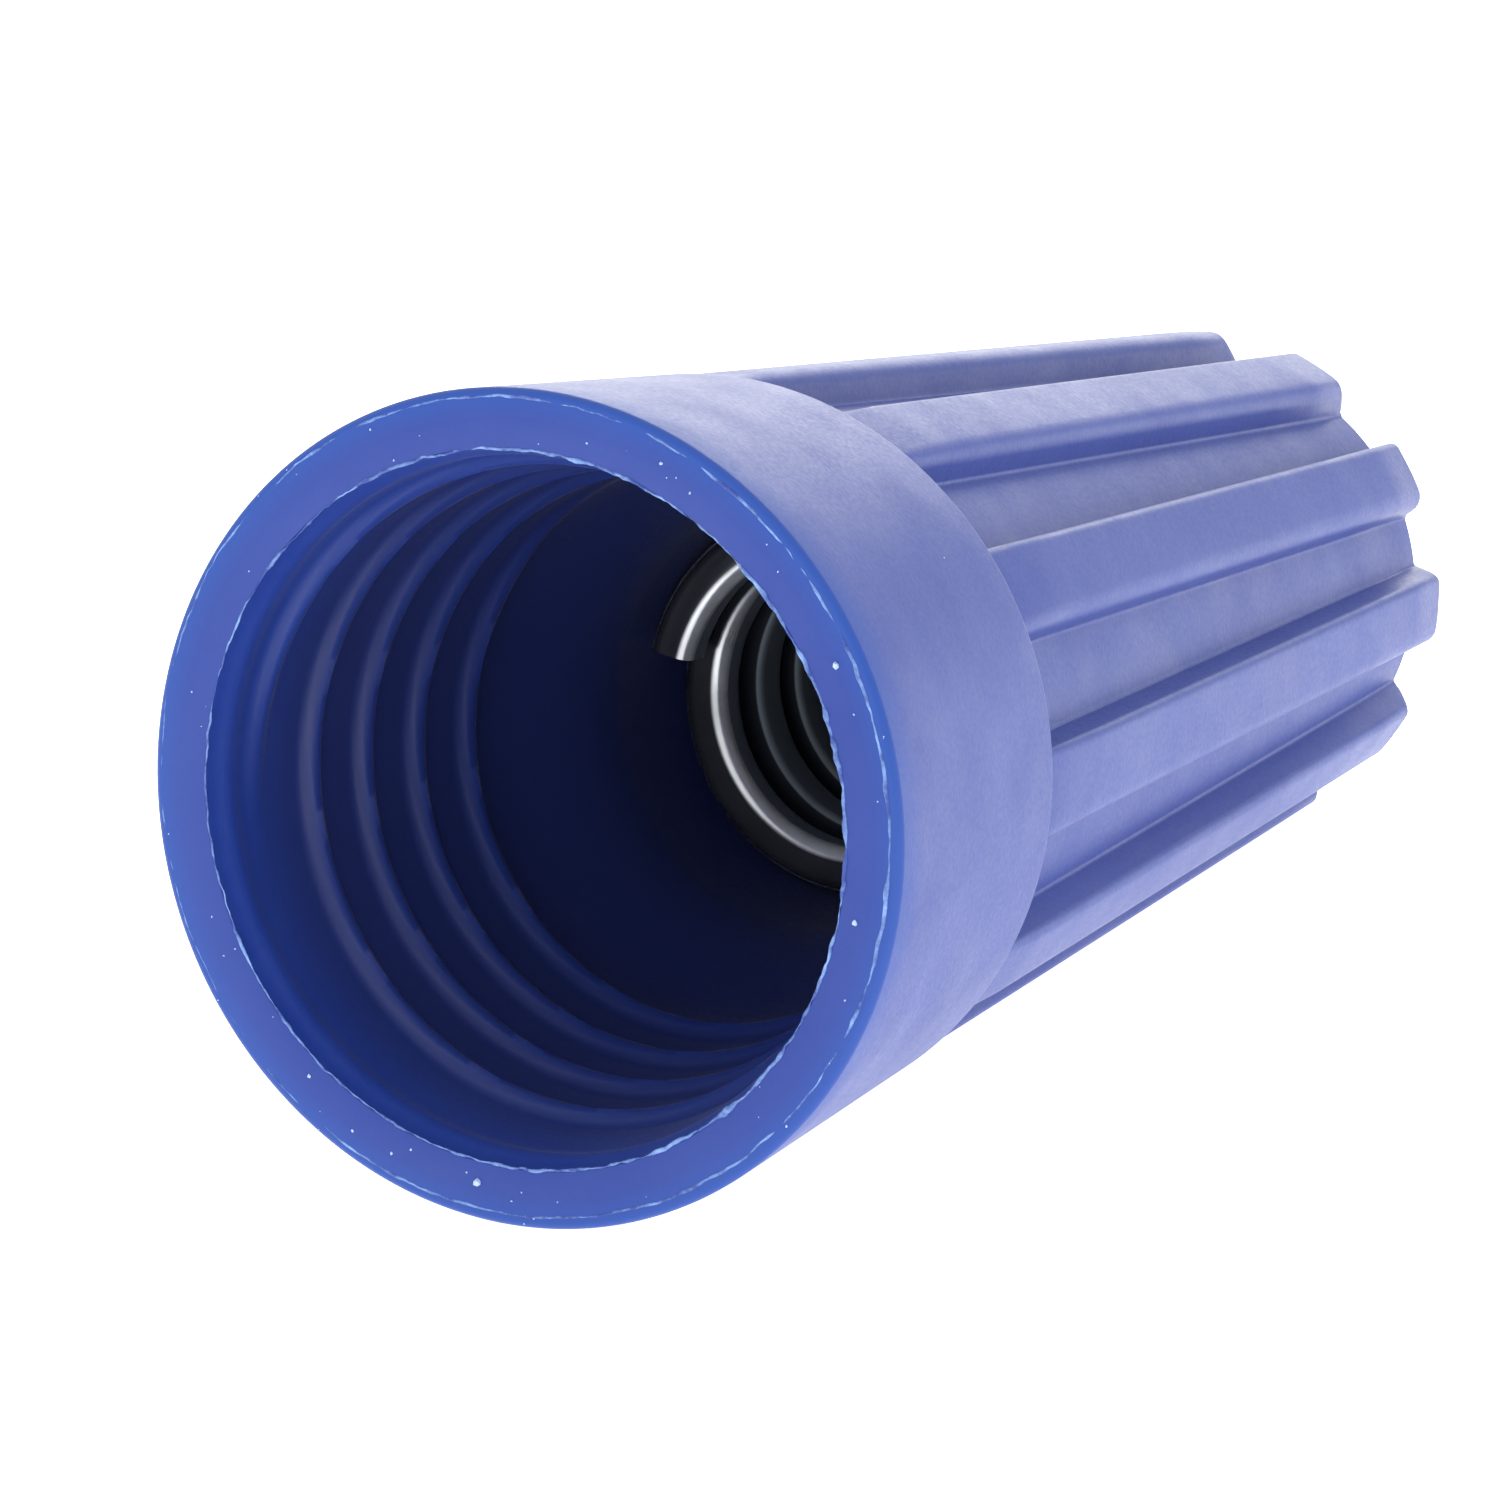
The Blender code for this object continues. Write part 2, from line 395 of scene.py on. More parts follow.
def bumped(material, shader, height, distance, strength, under=None):
    """Adds a bump of the given real height to the shader, over an earlier bump."""
    node = add_node(material, "ShaderNodeBump", Strength=strength, Distance=distance)
    link(material, height, node.inputs["Height"])
    if under is not None:
        link(material, under, node.inputs["Normal"])
    link(material, node.outputs["Normal"], shader.inputs["Normal"])
    return node.outputs["Normal"]


def summed(material, first, second):
    """The sum of two node outputs."""
    node = add_node(material, "ShaderNodeMath", operation="ADD")
    link(material, first, node.inputs[0])
    link(material, second, node.inputs[1])
    return node.outputs[0]


def between(first, last, share):
    """The value that lies this share of the way from first to last."""
    return first + (last - first) * share


def rounding_turns(count):
    """Angles over a quarter turn, for the points of a rounding."""
    return np.linspace(0, pi / 2, count)


# Shell

def rib_half_outline(sizes, crest_radius, half_width, core_radius, edge):
    """(angle, radius) from the middle of a rib's crest down its wall to the middle of the valley."""
    share = np.linspace(0, 1, CREST_POINTS, endpoint=False)
    crest = [(half_width - edge) * share, crest_radius - sizes.rib_crown * share**2]
    turn = rounding_turns(RIB_EDGE_POINTS)[::-1]
    edge_up = crest_radius - sizes.rib_crown - edge
    top = [half_width - edge + edge * np.cos(turn), edge_up + edge * np.sin(turn)]
    foot = sizes.rib_foot_radius
    foot_across = half_width + sizes.rib_wall_lean + foot
    foot_up = sqrt(core_radius**2 - foot_across**2) + foot
    turn = np.linspace(pi, 1.5 * pi, RIB_FOOT_POINTS)
    fillet = [foot_across + foot * np.cos(turn), foot_up + foot * np.sin(turn)]
    across, up = np.concatenate([crest, top, fillet], axis=1)
    angle, radius = np.arctan2(across, up), np.hypot(across, up)
    valley = np.linspace(angle[-1], pi / sizes.rib_count, VALLEY_POINTS)[1:]
    valley_radius = np.full(len(valley), core_radius)
    return np.concatenate([angle, valley]), np.concatenate([radius, valley_radius])


def rib_tip_start(sizes):
    """The depth at which the ribs' sloped tips start."""
    return LENGTH - sizes.rib_end_inset - sizes.rib_tip_length


def rib_crest_radius(sizes, depth):
    """The straight line of the crests, falling over the rounded slope of the tips."""
    tip_start, fullness = rib_tip_start(sizes), sizes.rib_tip_fullness
    share = (depth - sizes.collar_length) / (tip_start - sizes.collar_length)
    line = between(sizes.rib_radius_at_collar, sizes.rib_radius_at_tip, min(share, 1.0))
    along_tip = min(max((depth - tip_start) / sizes.rib_tip_length, 0.0), 1.0)
    return line - sizes.rib_tip_length * (1 - (1 - along_tip**fullness) ** (1 / fullness))


def ribbed_outline(sizes, depth):
    """(angles, radii) once round the body at a depth behind the collar."""
    share = (depth - sizes.collar_length) / (LENGTH - sizes.collar_length)
    core = between(sizes.core_radius_at_collar, sizes.core_radius_at_end, share)
    half_width = between(sizes.rib_width_at_collar, sizes.rib_width_at_tip, share) / 2
    crest = rib_crest_radius(sizes, depth)
    first_width = half_width + sizes.rib_first_side_extra
    first_angle, first_radius = rib_half_outline(sizes, crest, first_width, core, sizes.rib_edge_radius)
    angle, radius = rib_half_outline(sizes, crest, half_width, core, sizes.rib_soft_edge_radius)
    angle = np.concatenate([-first_angle[-2:0:-1], angle])
    radius = np.concatenate([first_radius[-2:0:-1], radius])
    middles = pi / 2 + tau * np.arange(sizes.rib_count) / sizes.rib_count
    return (middles[:, None] + angle).ravel(), np.tile(radius, sizes.rib_count)


def ridge_height(thread, angle, depth):
    """How far the thread's rounded ridge and the bead at the mouth stand out of the bore."""
    past_start = np.mod(angle - thread.start_angle, tau) / tau
    height = np.zeros(np.broadcast(angle, depth).shape)
    for turn in range(int(thread.turns) + 1):
        turns_in = past_start + turn
        crest = thread.start_depth + thread.pitch * turns_in
        to_end = np.minimum(turns_in, thread.turns - turns_in) / thread.fade
        rise = np.clip(to_end, 0, 1)
        away = np.clip(np.abs(depth - crest) / thread.half_width, 0, 1)
        height += thread.height * rise**2 * (3 - 2 * rise) * np.cos(away * pi / 2) ** 2
    away = np.clip(np.abs(depth - thread.bead_depth) / thread.bead_half_width, 0, 1)
    return height + thread.bead_height * np.cos(away * pi / 2) ** 2


def pocket_radius(sizes, spring, depth):
    """The pocket's radius, which keeps its clearance all along the tapered spring."""
    turns = (depth - spring.start_depth - spring.wire_side) / spring.pitch
    return spring.outer_radius + sizes.pocket_clearance - spring.shrink * turns


def painted_rim_glow(radii, depth):
    """Painted glow: 1 at the mouth's outer edge, fading over the rim and down the collar."""
    starts_inside_edge, fade_over_rim, fade_down_collar = 0.45 * MM, 0.4 * MM, 0.25 * MM
    from_edge = np.asarray(radii) - MOUTH_RADIUS + starts_inside_edge
    return np.clip(from_edge / fade_over_rim, 0, 1) * np.clip(1 - depth / fade_down_collar, 0, 1)


def bore_darkness(thread, angles, depth):
    """Painted shade: 0 at the mouth, 1 deep in the bore and less on the thread's crests."""
    start, fade, crest_share = 0.2 * MM, 1.8 * MM, 0.4
    crest = np.clip(ridge_height(thread, angles, depth) / thread.height, 0, 1)
    return np.clip((depth - start) / fade, 0, 1) * (1 - crest_share * crest)


def outside_rows(sizes):
    """(angles, radii, depth) from the closed end over the body, the collar and half of the rim."""
    tip_angles, _ = ribbed_outline(sizes, LENGTH - sizes.rib_end_inset)
    rounding, end_radius = sizes.core_end_rounding, sizes.core_radius_at_end
    meets_ribs = radians(42)
    for turn in np.linspace(pi / 2, meets_ribs, CLOSED_END_ROWS):
        radius = end_radius - rounding * (1 - cos(turn))
        yield tip_angles, radius, LENGTH - rounding * (1 - sin(turn))
    tip_start = rib_tip_start(sizes)
    for share in np.sin(rounding_turns(RIB_TIP_ROWS)[::-1]):
        depth = tip_start + sizes.rib_tip_length * share
        yield *ribbed_outline(sizes, depth), depth
    for depth in np.linspace(tip_start, sizes.collar_length, BODY_ROWS)[1:-1]:
        yield *ribbed_outline(sizes, depth), depth
    angles, radii = ribbed_outline(sizes, sizes.collar_length)
    edge, mouth_edge = sizes.collar_edge_radius, sizes.mouth_edge_radius
    step_top = sizes.collar_end_radius - edge
    smallest_step = 0.004 * MM
    yield angles, np.minimum(radii, step_top - smallest_step), sizes.collar_length
    for turn in rounding_turns(COLLAR_EDGE_ROWS):
        depth = sizes.collar_length - edge * (1 - cos(turn))
        yield angles, step_top + edge * sin(turn), depth
    for share in np.linspace(0, 1, COLLAR_ROWS)[1:-1]:
        radius = between(sizes.collar_end_radius, MOUTH_RADIUS, share)
        yield angles, radius, between(sizes.collar_length - edge, mouth_edge, share)
    for turn in rounding_turns(MOUTH_EDGE_ROWS):
        yield angles, MOUTH_RADIUS - mouth_edge * (1 - cos(turn)), mouth_edge * (1 - sin(turn))
    yield angles, between(MOUTH_RADIUS, sizes.bore_radius, 0.5), 0.0


def inside_rows(sizes, thread, spring):
    """(angles, radii, depth) from the bore's edge over the thread to the pocket's bottom."""
    angles, _ = ribbed_outline(sizes, sizes.collar_length)
    edge = sizes.bore_edge_radius
    for turn in rounding_turns(BORE_EDGE_ROWS):
        yield angles, sizes.bore_radius + edge * (1 - sin(turn)), edge * (1 - cos(turn))
    thread_end = thread.start_depth + thread.pitch * thread.turns + thread.half_width
    for depth in np.arange(edge, thread_end, thread.pitch / ROWS_PER_PITCH)[1:]:
        bore = bore_profile(sizes, spring, depth)
        yield angles, bore - ridge_height(thread, angles, depth), depth
    for depth in np.linspace(thread_end, sizes.pocket_depth, THROAT_ROWS):
        yield angles, bore_profile(sizes, spring, depth), depth
    for depth in np.linspace(sizes.pocket_depth, sizes.pocket_end_depth, POCKET_ROWS)[1:]:
        yield angles, pocket_radius(sizes, spring, depth), depth


def bore_profile(sizes, spring, depth):
    """The bore's cone, eased into the pocket over the throat."""
    if depth <= sizes.bore_length:
        return between(sizes.bore_radius, sizes.throat_radius, depth / sizes.bore_length)
    share = (depth - sizes.bore_length) / (sizes.pocket_depth - sizes.bore_length)
    eased = (1 - cos(pi * share)) / 2
    return between(sizes.throat_radius, pocket_radius(sizes, spring, sizes.pocket_depth), eased)


def plastic_material(colours):
    """Solid blue moulding: a fine satin grain, a faint pale bloom and drag marks along the axis, with a
    painted glow at the rim's outer edge and painted shade deep in the bore.
    """
    material, shader = new_material("moulded_blue_plastic")
    shader.inputs["IOR"].default_value = 1.44
    shader.inputs["Sheen Weight"].default_value = 0.08
    shader.inputs["Sheen Roughness"].default_value = 0.4
    place = add_node(material, "ShaderNodeTexCoord").outputs["Object"]
    bloom = noise_field(material, place, scale=420, detail=6, roughness=0.62)
    amount = ramp(material, bloom, 0.35, 0.75, 0, 1)
    colour = mixed_colour(material, amount, colours.plastic, colours.plastic_pale)
    # Painted glow at the rim's outer edge
    colour = toned(material, colour, PAINTED_RIM_GLOW, colours.painted_edge_glow)
    # Painted shade deep in the bore and in the thread's grooves
    colour = toned(material, colour, PAINTED_BORE_SHADE, colours.painted_bore_shade)
    link(material, colour, shader.inputs["Base Color"])
    grain = noise_field(material, place, scale=14000, detail=2, roughness=0.6)
    patches = noise_field(material, place, scale=900, detail=4)
    satin = ramp(material, grain, 0.3, 0.7, 0.36, 0.46)
    uneven = ramp(material, patches, 0.3, 0.7, -0.03, 0.05)
    link(material, summed(material, satin, uneven), shader.inputs["Roughness"])
    fine = bumped(material, shader, grain, distance=0.004 * MM, strength=0.6)
    stretch = add_node(material, "ShaderNodeMapping", vector_type="TEXTURE")
    stretch.inputs["Rotation"].default_value = connector_matrix().to_euler()
    stretch.inputs["Scale"].default_value = (1.0, 16.0, 1.0)
    link(material, place, stretch.inputs["Vector"])
    drag = noise_field(material, stretch.outputs["Vector"], scale=3500, detail=3, roughness=0.55)
    soft = bumped(material, shader, drag, distance=0.006 * MM, strength=0.35, under=fine)
    waves = noise_field(material, place, scale=500, detail=2)
    bumped(material, shader, waves, distance=0.03 * MM, strength=0.35, under=soft)
    return material


class MakeShell(bpy.types.Operator):
    """Make the moulded shell with its collar, ribs, rim, threaded bore, throat and pocket"""

    bl_idname = "connector.make_shell"
    bl_label = "Make Shell"

    def execute(self, context):
        sizes, thread = settings(context, "shell_sizes"), settings(context, "thread_sizes")
        outside = list(outside_rows(sizes))
        inside = list(inside_rows(sizes, thread, settings(context, "spring_sizes")))
        rows = outside + inside
        # Painted glow at the rim's outer edge, kept at the points
        glow = [painted_rim_glow(radii, depth) + 0 * angles for angles, radii, depth in rows]
        shade = [0 * angles for angles, _, _ in outside]
        # Painted shade deep in the bore, lighter on the thread's crests
        shade += [bore_darkness(thread, angles, depth) for angles, _, depth in inside]
        mesh = skin("moulded_shell", np.stack([on_axis(*row) for row in rows]))
        add_tone(mesh, PAINTED_RIM_GLOW, np.stack(glow))
        add_tone(mesh, PAINTED_BORE_SHADE, np.stack(shade))
        material = plastic_material(settings(context, "connector_colours"))
        shell = add_piece("moulded_shell", mesh, material, smooth_angle=radians(50))
        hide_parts("shell")
        return {"FINISHED"}


# Flash and crumbs

def wander(angle, waves, seed):
    """Smooth noise of about -1 to 1 that closes after one turn."""
    falloff, finer, octaves = 0.6, 2.0, 3
    places = [Vector((cos(a) * waves, sin(a) * waves, seed)) for a in angle]
    return np.array([noise.fractal(place, falloff, finer, octaves) for place in places])


def flash_ring(angle, radius, width, wobble, seed, waves):
    """A closed ragged thread of plastic along an edge, thinnest at angle 0."""
    middling, swing, thinnest, thickest = 0.75, 0.9, 0.08, 1.6
    fullness = np.clip(middling + swing * wander(angle, waves, seed), thinnest, thickest)
    half = width / 2 * (fullness * (0.7 - 0.3 * np.cos(angle)))
    side = wobble * wander(angle, waves * 1.7, seed + 5)
    turns = np.linspace(0, tau, FLASH_SIDES, endpoint=False)
    flatness, sunk = 0.8, width * 0.1
    ring_radius = (radius + side)[:, None] + half[:, None] * np.cos(turns)
    ring_depth = half[:, None] * flatness * np.sin(turns) + sunk
    return on_axis(angle[:, None], ring_radius, ring_depth)


def flash_material(colours):
    """Thin plastic that is pale where it has been stretched."""
    material, shader = new_material("stressed_plastic_flash")
    place = add_node(material, "ShaderNodeTexCoord").outputs["Object"]
    patches = noise_field(material, place, scale=2600, detail=5, roughness=0.7)
    amount = ramp(material, patches, 0.4, 0.66, 0, 1)
    colour = mixed_colour(material, amount, colours.plastic_pale, colours.flash)
    link(material, colour, shader.inputs["Base Color"])
    link(material, ramp(material, patches, 0.3, 0.7, 0.3, 0.6), shader.inputs["Roughness"])
    grain = noise_field(material, place, scale=20000)
    bumped(material, shader, grain, distance=0.01 * MM, strength=0.5)
    return material


class MakeFlash(bpy.types.Operator):
    """Make the thin ragged flash along both edges of the rim"""

    bl_idname = "connector.make_flash"
    bl_label = "Make Rim Flash"

    def execute(self, context):
        sizes, flash = settings(context, "shell_sizes"), settings(context, "flash_sizes")
        material = flash_material(settings(context, "connector_colours"))
        angle = np.linspace(0, tau, FLASH_STEPS, endpoint=False)
        strays_in = 0.04 * MM * (1 + np.cos(angle - radians(225)))
        outer_radius = MOUTH_RADIUS - sizes.mouth_edge_radius - strays_in
        shapes = {
            "bore_edge_flash": {
                "radius": sizes.bore_radius,
                "width": flash.bore_edge_width,
                "seed": 3.0,
                "waves": 9.0,
            },
            "outer_edge_flash": {
                "radius": outer_radius,
                "width": flash.outer_edge_width,
                "seed": 11.0,
                "waves": 7.0,
            },
        }
        for name, shape in shapes.items():
            mesh = skin(name, flash_ring(angle, wobble=flash.wobble, **shape), ring=True)
            add_piece(name, mesh, material, smooth_angle=radians(60))
        return {"FINISHED"}


# One crumb on the rim is by far the largest
LARGEST_CRUMB = 3.2
LARGEST_CRUMB_ANGLE = radians(282)
LARGEST_CRUMB_RADIUS = 5.0 * MM


def crumb_places(sizes, count, random):
    """(point, size factor) on the rim, on the collar and along the feet of the ribs."""
    yield on_axis(LARGEST_CRUMB_ANGLE, LARGEST_CRUMB_RADIUS, 0.0), LARGEST_CRUMB
    share_on_rim, share_on_rim_or_collar = 0.7, 0.85
    inset, beside_wall = 0.05 * MM, 1.08
    for _ in range(count):
        angle = random.uniform(0, tau)
        factor = random.lognormal(0.0, 0.5)
        place = random.random()
        if place < share_on_rim:
            radius = random.uniform(sizes.bore_radius + inset, MOUTH_RADIUS - inset)
            yield on_axis(angle, radius, 0.0), factor
        elif place < share_on_rim_or_collar:
            share = random.uniform(0.08, 0.95)
            radius = between(MOUTH_RADIUS, sizes.collar_end_radius, share)
            yield on_axis(angle, radius, sizes.collar_length * share), factor * 0.8
        else:
            share = random.uniform(0.02, 0.5)
            middle = pi / 2 + tau * random.integers(sizes.rib_count) / sizes.rib_count
            radius = between(sizes.core_radius_at_collar, sizes.core_radius_at_end, share)
            half_width = between(sizes.rib_width_at_collar, sizes.rib_width_at_tip, share) / 2
            foot = middle + random.choice((-1, 1)) * half_width / radius * beside_wall
            depth = between(sizes.collar_length, LENGTH, share)
            yield on_axis(foot, radius, depth), factor * 1.3


def crumb_material(colours):
    """Dull pale plastic."""
    material, shader = new_material("pale_crumbs")
    place = add_node(material, "ShaderNodeTexCoord").outputs["Object"]
    patches = noise_field(material, place, scale=12000, detail=4)
    colour = mixed_colour(material, patches, colours.flash, colours.crumb)
    link(material, colour, shader.inputs["Base Color"])
    link(material, ramp(material, patches, 0.3, 0.7, 0.5, 0.8), shader.inputs["Roughness"])
    return material


class MakeCrumbs(bpy.types.Operator):
    """Make the small crumbs of plastic that cling to the rim and the collar"""

    bl_idname = "connector.make_crumbs"
    bl_label = "Make Crumbs"

    def execute(self, context):
        sizes, flash = settings(context, "shell_sizes"), settings(context, "flash_sizes")
        random = np.random.default_rng(7)
        bm = bmesh.new()
        for point, factor in crumb_places(sizes, flash.crumb_count, random):
            radius = flash.crumb_size * min(factor, LARGEST_CRUMB)
            dent = radius * 0.12
            stretch = Matrix.Diagonal((*random.uniform(0.6, 1.2, 3), 1))
            turn = Matrix.Rotation(random.uniform(0, tau), 4, "Z")
            place = Matrix.Translation(Vector(point)) @ turn @ stretch
            made = bmesh.ops.create_icosphere(bm, subdivisions=1, radius=radius, matrix=place)
            for vert in made["verts"]:
                vert.co += Vector(random.normal(0, dent, 3))
        mesh = bpy.data.meshes.new("plastic_crumbs")
        bm.to_mesh(mesh)
        bm.free()
        material = crumb_material(settings(context, "connector_colours"))
        add_piece("plastic_crumbs", mesh, material, smooth_angle=radians(30))
        return {"FINISHED"}


# Spring

def wire_outline(side, corner):
    """(outward, deeper) round the square wire from its inner front corner, with rounded corners."""
    points = []
    half_flat = side / 2 - corner
    for quarter in range(4):
        corner_turn = radians(225) + quarter * pi / 2
        middle = Vector((cos(corner_turn), sin(corner_turn))) * half_flat * sqrt(2)
        next_flat = corner_turn + pi / 4
        for turn in np.linspace(corner_turn - pi / 4, next_flat, WIRE_CORNER_POINTS):
            points.append((middle.x + corner * cos(turn), middle.y + corner * sin(turn)))
        along_flat = Vector((-sin(next_flat), cos(next_flat))) * half_flat * 0.3
        points.append((points[-1][0] + along_flat.x, points[-1][1] + along_flat.y))
    return np.array(points)


def past_open_turn(turn):
    """0 on the open first turn of the coil, 1 on the turns behind it."""
    change_over = 0.12
    return np.clip((turn - 1.0) / change_over, 0, 1)


def painted_front_shade(spring, outline, rows):
    """Painted shade: nearly 1 on the wire's front face, 0 elsewhere."""
    outward, deeper = outline.T
    past_corner = outward > 0.9 * spring.corner_radius - spring.wire_side / 2
    front = past_corner & (deeper < -0.4 * spring.wire_side)
    return np.tile(0.95 * front, (rows, 1))


def wire_dulling_and_shade(spring, outline, rows):
    """1 on the inner face and on the turns behind the open one, 0 on that turn's bright edge: a duller
    inner face, and painted shade on the turns behind.
    """
    outward, deeper = outline.T
    past_corner = deeper > 0.8 * spring.corner_radius - spring.wire_side / 2
    inner = past_corner & (outward < -0.4 * spring.wire_side)
    deep = past_open_turn(np.arange(rows) / WIRE_STEPS_PER_TURN)
    return np.maximum(inner[None, :], deep[:, None])


def spring_grid(spring):
    """Rows of points round the wire, one after another along the conical coil."""
    steps = round(spring.turns * WIRE_STEPS_PER_TURN)
    turn = np.arange(steps + 1) / WIRE_STEPS_PER_TURN
    open_outline = wire_outline(spring.wire_side, spring.corner_radius)
    deep_outline = wire_outline(spring.wire_side, spring.deep_corner_radius)
    outline = between(open_outline, deep_outline, past_open_turn(turn)[:, None, None])
    middle_radius = spring.outer_radius - spring.wire_side / 2 - spring.shrink * turn
    middle_depth = spring.start_depth + spring.wire_side / 2 + spring.pitch * turn
    angle = spring.start_angle + tau * turn
    radius = middle_radius[:, None] + outline[:, :, 0]
    return on_axis(angle[:, None], radius, middle_depth[:, None] + outline[:, :, 1])


def add_wire_map(mesh, columns):
    """A UV map with the way along the wire and the way round it, both in about a millimetre."""
    wire_map = mesh.uv_layers.new(name="along_wire")
    once_round_coil, once_round_wire = 16.0, 2.6
    for face in mesh.polygons:
        if len(face.vertices) > 4:
            # A cut end reads the map in one place only
            for loop in face.loop_indices:
                wire_map.data[loop].uv = (min(face.vertices) // columns, 0)
            continue
        wraps = {vertex % columns for vertex in face.vertices} == {0, columns - 1}
        for loop in face.loop_indices:
            row, column = divmod(mesh.loops[loop].vertex_index, columns)
            if wraps and column == 0:
                column = columns
            along = row * once_round_coil / WIRE_STEPS_PER_TURN
            wire_map.data[loop].uv = (along, column * once_round_wire / columns)


def steel_material(colours):
    """Bright drawn wire with fine lines along it, a little dullness in patches, a duller inner face, and
    painted shade on its front face and on the turns behind the open one.
    """
    material, shader = new_material("zinc_plated_wire")
    shader.inputs["Metallic"].default_value = 0.55
    along = add_node(material, "ShaderNodeUVMap", uv_map="along_wire").outputs["UV"]
    stretch = add_node(material, "ShaderNodeMapping", vector_type="POINT")
    stretch.inputs["Scale"].default_value = (0.6, 22.0, 1.0)
    link(material, along, stretch.inputs["Vector"])
    lines = noise_field(material, stretch.outputs["Vector"], scale=2.0, detail=4, roughness=0.6)
    place = add_node(material, "ShaderNodeTexCoord").outputs["Object"]
    patches = noise_field(material, place, scale=1500, detail=4)
    darker = tuple(0.72 * channel for channel in colours.steel)
    amount = ramp(material, patches, 0.35, 0.65, 0, 1)
    colour = mixed_colour(material, amount, darker, colours.steel)
    # Duller steel on the inner faces, and painted shade on the turns behind the open one
    colour = toned(material, colour, WIRE_ROUGH_AND_SHADE, colours.steel_dull_and_shade)
    # Painted shade on the wire's front face
    colour = toned(material, colour, PAINTED_WIRE_SHADE, colours.painted_front_shade)
    link(material, colour, shader.inputs["Base Color"])
    worn = add_node(material, "ShaderNodeAttribute", attribute_name=WIRE_ROUGH_AND_SHADE).outputs["Fac"]
    drawn = ramp(material, lines, 0.3, 0.7, 0.16, 0.26)
    dulled = ramp(material, worn, 0.0, 1.0, 0.0, 0.42)
    link(material, summed(material, drawn, dulled), shader.inputs["Roughness"])
    bumped(material, shader, lines, distance=0.002 * MM, strength=0.4)
    return material


class MakeSpring(bpy.types.Operator):
    """Make the conical coil of square wire"""

    bl_idname = "connector.make_spring"
    bl_label = "Make Spring"

    def execute(self, context):
        sizes = settings(context, "spring_sizes")
        grid = spring_grid(sizes)
        mesh = skin("wire_spring", grid)
        add_wire_map(mesh, grid.shape[1])
        outline = wire_outline(sizes.wire_side, sizes.corner_radius)
        add_tone(mesh, PAINTED_WIRE_SHADE, painted_front_shade(sizes, outline, len(grid)))
        add_tone(mesh, WIRE_ROUGH_AND_SHADE, wire_dulling_and_shade(sizes, outline, len(grid)))
        material = steel_material(settings(context, "connector_colours"))
        spring = add_piece("wire_spring", mesh, material, smooth_angle=radians(50))
        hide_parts("spring")
        return {"FINISHED"}


# Stage, in metres

FLOOR_RADIUS = 1.2
SOFTBOX_PLACE = (-0.07, 0.21, 0.08)
SOFTBOX_SIZE = (0.17, 0.11)


def make_floor(colours, glow):
    """A wide round floor with a faintly uneven pale finish, lit from within."""
    mesh = bpy.data.meshes.new("floor")
    bm = bmesh.new()
    bmesh.ops.create_circle(bm, cap_ends=True, segments=96, radius=FLOOR_RADIUS)
    bm.to_mesh(mesh)
    bm.free()
    material, shader = new_material("pale_floor")
    shader.inputs["Roughness"].default_value = 0.9
    shader.inputs["Specular IOR Level"].default_value = 0.1
    shader.inputs["Emission Color"].default_value = (1, 1, 1, 1)
    shader.inputs["Emission Strength"].default_value = glow
    place = add_node(material, "ShaderNodeTexCoord").outputs["Object"]
    cloud = noise_field(material, place, scale=6, detail=2)
    darker = tuple(0.985 * channel for channel in colours.floor)
    colour = mixed_colour(material, cloud, darker, colours.floor)
    link(material, colour, shader.inputs["Base Color"])
    mesh.materials.append(material)
    floor = bpy.data.objects.new("floor", mesh)
    bpy.context.scene.collection.objects.link(floor)


def make_surround(strength):
    """An even white room."""
    world = bpy.data.worlds.new("pale_room")
    bpy.context.scene.world = world
    world.use_nodes = True
    background = world.node_tree.nodes["Background"]
    background.inputs["Color"].default_value = (1, 1, 1, 1)
    background.inputs["Strength"].default_value = strength


def make_softbox(power):
    """One broad soft light behind the connector, turned towards it."""
    data = bpy.data.lights.new("behind", "AREA")
    data.shape = "RECTANGLE"
    data.size, data.size_y = SOFTBOX_SIZE
    data.energy = power
    lamp = bpy.data.objects.new("behind", data)
    lamp.location = SOFTBOX_PLACE
    towards = Vector((0.0, 0.0, MOUTH_RADIUS)) - Vector(SOFTBOX_PLACE)
    lamp.rotation_euler = towards.to_track_quat("-Z", "Y").to_euler()
    bpy.context.scene.collection.objects.link(lamp)


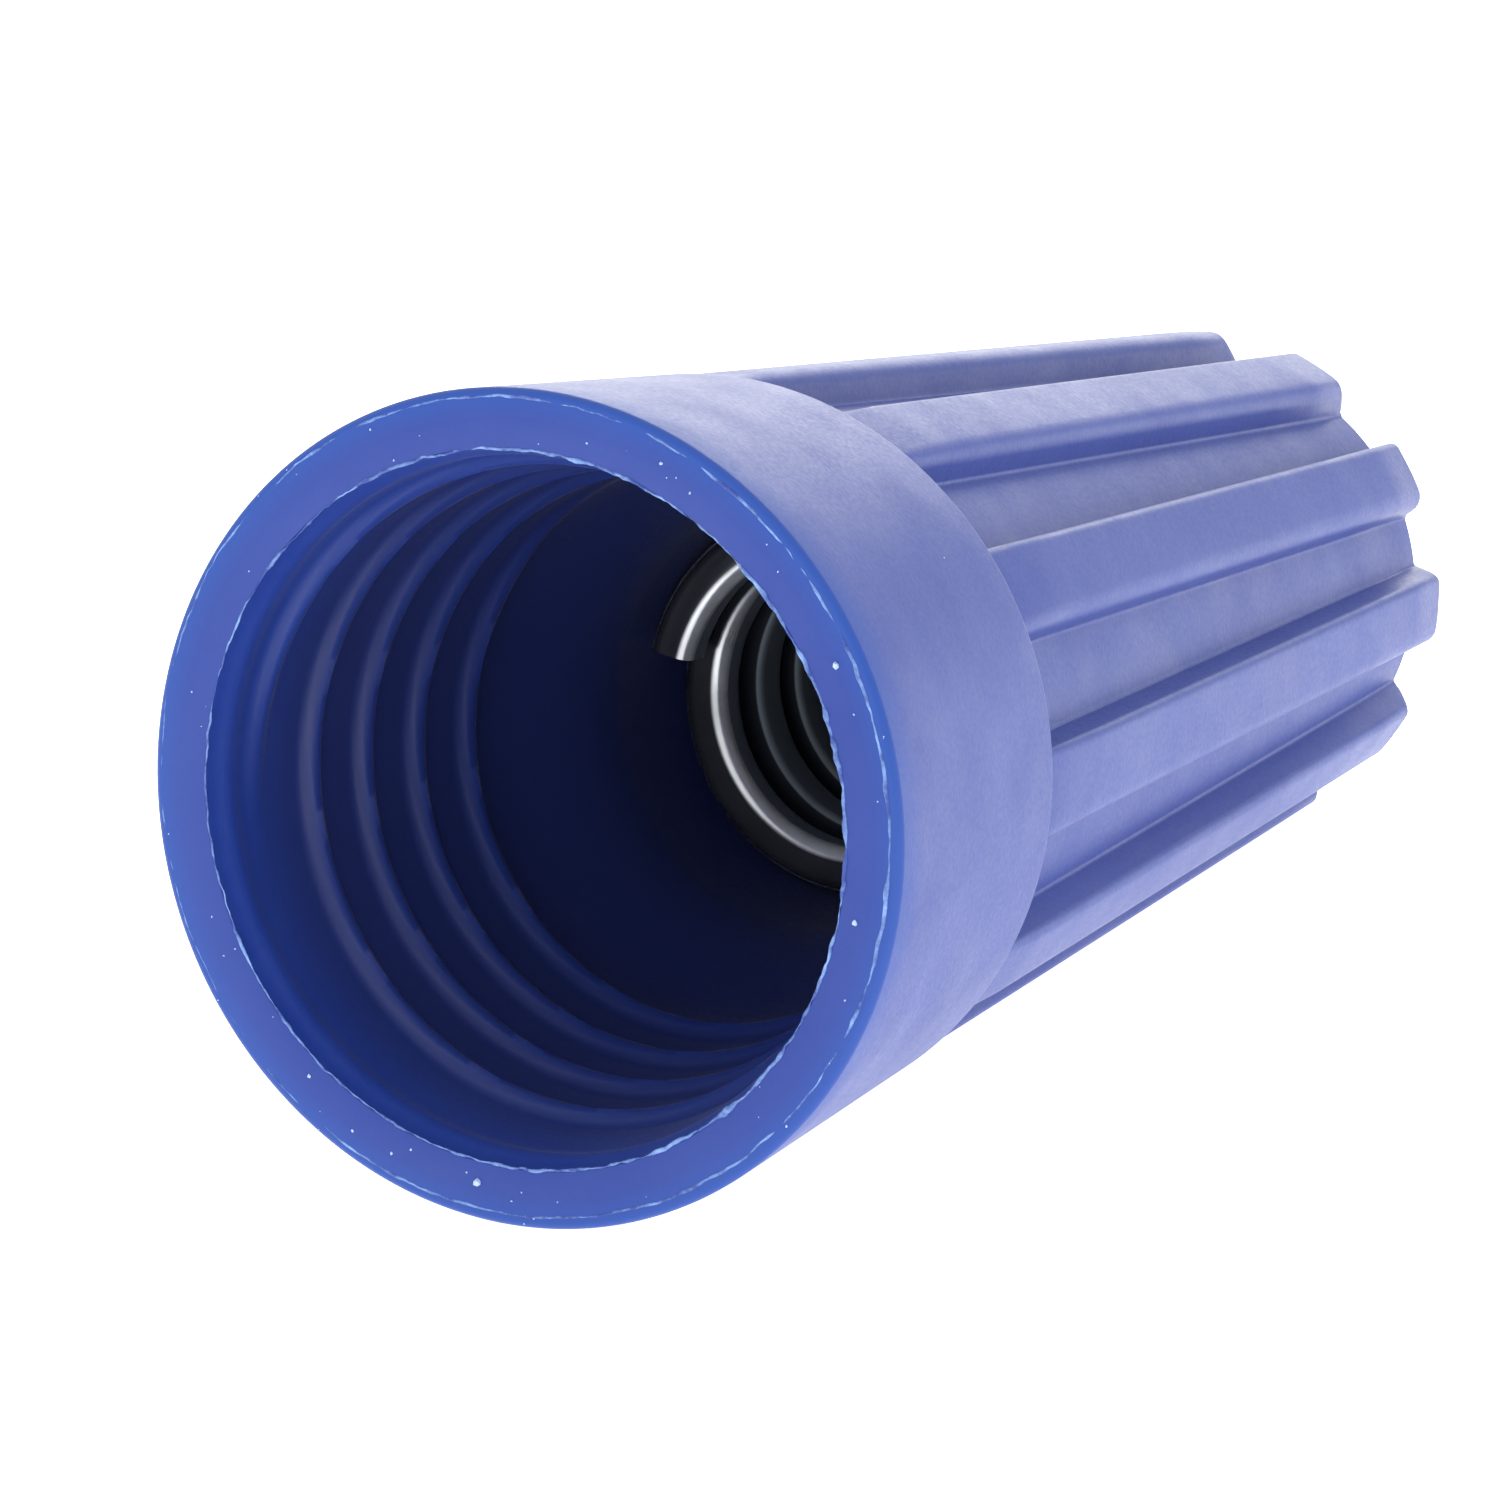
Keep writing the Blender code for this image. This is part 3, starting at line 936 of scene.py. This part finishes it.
def make_camera(stage):
    """A long lens set by how the mouth lies in its view."""
    tilt = Matrix.Rotation(pi / 2 - stage.elevation, 3, "X")
    turn = Matrix.Rotation(stage.azimuth, 3, "Z") @ tilt @ Matrix.Rotation(-stage.roll, 3, "Z")
    right, up, back = turn.col
    mouth = connector_matrix().translation
    away = back * stage.distance + right * stage.mouth_left + up * stage.mouth_down
    data = bpy.data.cameras.new("long_lens")
    data.lens = stage.lens
    data.sensor_width = 36.0
    data.clip_start = 0.005
    camera = bpy.data.objects.new("camera", data)
    camera.matrix_world = Matrix.Translation(mouth + away * MOUTH_RADIUS) @ turn.to_4x4()
    bpy.context.scene.collection.objects.link(camera)
    bpy.context.scene.camera = camera


class MakeStage(bpy.types.Operator):
    """Make the pale floor, the soft lights and the camera"""

    bl_idname = "connector.make_stage"
    bl_label = "Make Stage"

    def execute(self, context):
        stage = settings(context, "stage_settings")
        make_floor(settings(context, "connector_colours"), stage.floor_glow)
        make_surround(stage.sky_strength)
        make_softbox(stage.back_power)
        make_camera(stage)
        context.scene.view_settings.view_transform = "Standard"
        return {"FINISHED"}


class ConnectorPanel(bpy.types.Panel):
    """Lists the pieces that this add-on makes and their settings."""

    bl_idname = "VIEW3D_PT_connector"
    bl_label = "Twist-on Connector"
    bl_space_type = "VIEW_3D"
    bl_region_type = "UI"
    bl_category = "Connector"

    def draw(self, context):
        for operator in OPERATORS:
            self.layout.operator(operator.bl_idname)
        for name, group in GROUPS.items():
            box = self.layout.box()
            box.label(text=group.__name__)
            for key in group.__annotations__:
                box.prop(getattr(context.scene, name), key)


GROUPS = {
    "shell_sizes": ShellSizes,
    "thread_sizes": ThreadSizes,
    "spring_sizes": SpringSizes,
    "flash_sizes": FlashSizes,
    "connector_colours": Colours,
    "stage_settings": StageSettings,
}
OPERATORS = (MakeShell, MakeFlash, MakeCrumbs, MakeSpring, MakeStage)


def register():
    for cls in (*GROUPS.values(), *OPERATORS, ConnectorPanel):
        bpy.utils.register_class(cls)
    for name, group in GROUPS.items():
        setattr(bpy.types.Scene, name, PointerProperty(type=group))


def unregister():
    for name in GROUPS:
        delattr(bpy.types.Scene, name)
    for cls in reversed((*GROUPS.values(), *OPERATORS, ConnectorPanel)):
        bpy.utils.unregister_class(cls)


def main():
    register()
    bpy.ops.connector.make_shell()
    bpy.ops.connector.make_flash()
    bpy.ops.connector.make_crumbs()
    bpy.ops.connector.make_spring()
    bpy.ops.connector.make_stage()


if __name__ == "__main__":
    main()
